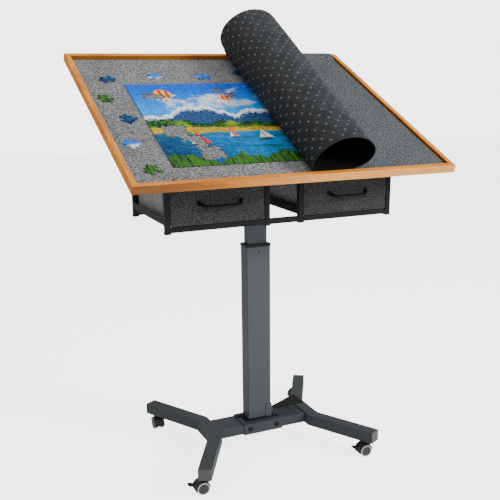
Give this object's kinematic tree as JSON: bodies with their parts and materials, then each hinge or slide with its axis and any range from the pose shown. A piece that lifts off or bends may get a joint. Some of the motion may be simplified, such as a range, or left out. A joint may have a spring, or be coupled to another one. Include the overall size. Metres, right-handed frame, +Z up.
{
  "type": "jigsaw puzzle table with drawers",
  "caption": "Rolling puzzle table: tilting felt board with wooden rails and a rolled cover mat, felt drawers in a steel frame, height-adjustable column, V-shaped feet on casters.",
  "frame": {"origin": "on the floor, under the centre of the whole table's bounding box, board tilted", "axes": "+Z up, +X to the user's right, +Y away from the user, towards the board's raised edge"},
  "size_m": [0.9, 0.6921, 1.2867],
  "materials": {
    "frame_steel": "fine charcoal powder coat",
    "column_steel": "grey powder coat",
    "bright_steel": "zinc plated",
    "black_plastic": "matt moulded",
    "caster_grey": "light grey moulded",
    "wheel_dark": "dark grey tread and discs",
    "rubber": "matt",
    "drawer_felt": "dark grey felt",
    "board_felt": "heather grey felt",
    "board_wood": "raw board",
    "rail_wood": "honey oiled wood",
    "puzzle_card": null,
    "mat_rubber": "ribbed rubber outside, felt inside",
    "handle_black": "black"
  },
  "bodies": {
    "base": {"left_foot": "frame_steel", "right_foot": "frame_steel", "foot_end_caps": "frame_steel", "base_sleeve": "frame_steel", "base_bolts": "bright_steel", "column_base_plate": "column_steel", "outer_column": "column_steel", "column_collar": "black_plastic", "gas_spring_rod": "bright_steel", "pedal_bracket": "frame_steel", "caster_stems": "bright_steel"},
    "pedal": {"height_pedal": "frame_steel"},
    "lift": {"inner_column": "column_steel", "slide_bush": "black_plastic", "gas_spring_cylinder": "frame_steel", "head_beam": "frame_steel", "unit_posts": "frame_steel", "post_feet": "black_plastic", "unit_side_rails": "frame_steel", "drawer_runners": "frame_steel", "unit_cross_rails": "frame_steel", "hinge_brackets": "frame_steel", "hinge_pins": "bright_steel", "rest_posts": "frame_steel", "rest_pads": "rubber", "clamp_cheeks": "frame_steel", "clamp_bolt": "bright_steel"},
    "knob": {"tilt_knob": "black_plastic"},
    "tabletop": {"board_panel": "board_wood", "board_felt": "board_felt", "front_rail": "rail_wood", "back_rail": "rail_wood", "left_rail": "rail_wood", "right_rail": "rail_wood", "board_bearers": "frame_steel", "tilt_quadrants": "frame_steel", "jigsaw_puzzle": "puzzle_card", "loose_pieces": "puzzle_card", "cover_mat": "mat_rubber"},
    "drawer_left": {"drawer_bin_left": "drawer_felt", "drawer_insert_left": "board_wood", "drawer_front_left": "drawer_felt", "drawer_handle_left": "handle_black"},
    "drawer_right": {"drawer_bin_right": "drawer_felt", "drawer_insert_right": "board_wood", "drawer_front_right": "drawer_felt", "drawer_handle_right": "handle_black"},
    "caster_front_left": {"caster_hood_front_left": "caster_grey"},
    "wheels_front_left": {"caster_wheels_front_left": "wheel_dark"},
    "brake_front_left": {"brake_lever_front_left": "black_plastic"},
    "caster_front_right": {"caster_hood_front_right": "caster_grey"},
    "wheels_front_right": {"caster_wheels_front_right": "wheel_dark"},
    "brake_front_right": {"brake_lever_front_right": "black_plastic"},
    "caster_back_left": {"caster_hood_back_left": "caster_grey"},
    "wheels_back_left": {"caster_wheels_back_left": "wheel_dark"},
    "caster_back_right": {"caster_hood_back_right": "caster_grey"},
    "wheels_back_right": {"caster_wheels_back_right": "wheel_dark"}
  },
  "joints": [
    {"name": "lift_slide", "type": "slide", "parent": "base", "child": "lift", "axis": [0, 0, 1], "range_m": [-0.11, 0.25]},
    {"name": "board_tilt", "type": "hinge", "parent": "lift", "child": "tabletop", "pos_m": [0, -0.18825, 0.89175], "axis": [1, 0, 0], "range_deg": [-24.35, 0]},
    {"name": "knob_turn", "type": "hinge", "parent": "lift", "child": "knob", "pos_m": [0.0366, 0.00975, 0.86353], "axis": [1, 0, 0], "range_deg": [-180, 0]},
    {"name": "pedal_press", "type": "hinge", "parent": "base", "child": "pedal", "pos_m": [0.05, 0.00518, 0.092], "axis": [0, 1, 0], "range_deg": [0, 6], "stiffness_Nm_per_rad": 8, "springref_deg": -8.59},
    {"name": "drawer_left_slide", "type": "slide", "parent": "lift", "child": "drawer_left", "axis": [0, -1, 0], "range_m": [0, 0.22]},
    {"name": "drawer_right_slide", "type": "slide", "parent": "lift", "child": "drawer_right", "axis": [0, -1, 0], "range_m": [0, 0.22]},
    {"name": "swivel_front_left", "type": "hinge", "parent": "base", "child": "caster_front_left", "pos_m": [-0.25972, -0.23769, 0.026], "axis": [0, 0, 1], "continuous": true},
    {"name": "roll_front_left", "type": "hinge", "parent": "caster_front_left", "child": "wheels_front_left", "pos_m": [-0.27272, -0.23769, 0.018], "axis": [0, 1, 0], "continuous": true},
    {"name": "brake_front_left_press", "type": "hinge", "parent": "caster_front_left", "child": "brake_front_left", "pos_m": [-0.29359, -0.23769, 0.03005], "axis": [0, 1, 0], "range_deg": [-12, 0]},
    {"name": "swivel_front_right", "type": "hinge", "parent": "base", "child": "caster_front_right", "pos_m": [0.25972, -0.23769, 0.026], "axis": [0, 0, 1], "continuous": true},
    {"name": "roll_front_right", "type": "hinge", "parent": "caster_front_right", "child": "wheels_front_right", "pos_m": [0.24672, -0.23769, 0.018], "axis": [0, 1, 0], "continuous": true},
    {"name": "brake_front_right_press", "type": "hinge", "parent": "caster_front_right", "child": "brake_front_right", "pos_m": [0.22585, -0.23769, 0.03005], "axis": [0, 1, 0], "range_deg": [-12, 0]},
    {"name": "swivel_back_left", "type": "hinge", "parent": "base", "child": "caster_back_left", "pos_m": [-0.25972, 0.21806, 0.026], "axis": [0, 0, 1], "continuous": true},
    {"name": "roll_back_left", "type": "hinge", "parent": "caster_back_left", "child": "wheels_back_left", "pos_m": [-0.25972, 0.20506, 0.018], "axis": [-1, 0, 0], "continuous": true},
    {"name": "swivel_back_right", "type": "hinge", "parent": "base", "child": "caster_back_right", "pos_m": [0.25972, 0.21806, 0.026], "axis": [0, 0, 1], "continuous": true},
    {"name": "roll_back_right", "type": "hinge", "parent": "caster_back_right", "child": "wheels_back_right", "pos_m": [0.24672, 0.21806, 0.018], "axis": [0, 1, 0], "continuous": true}
  ]
}
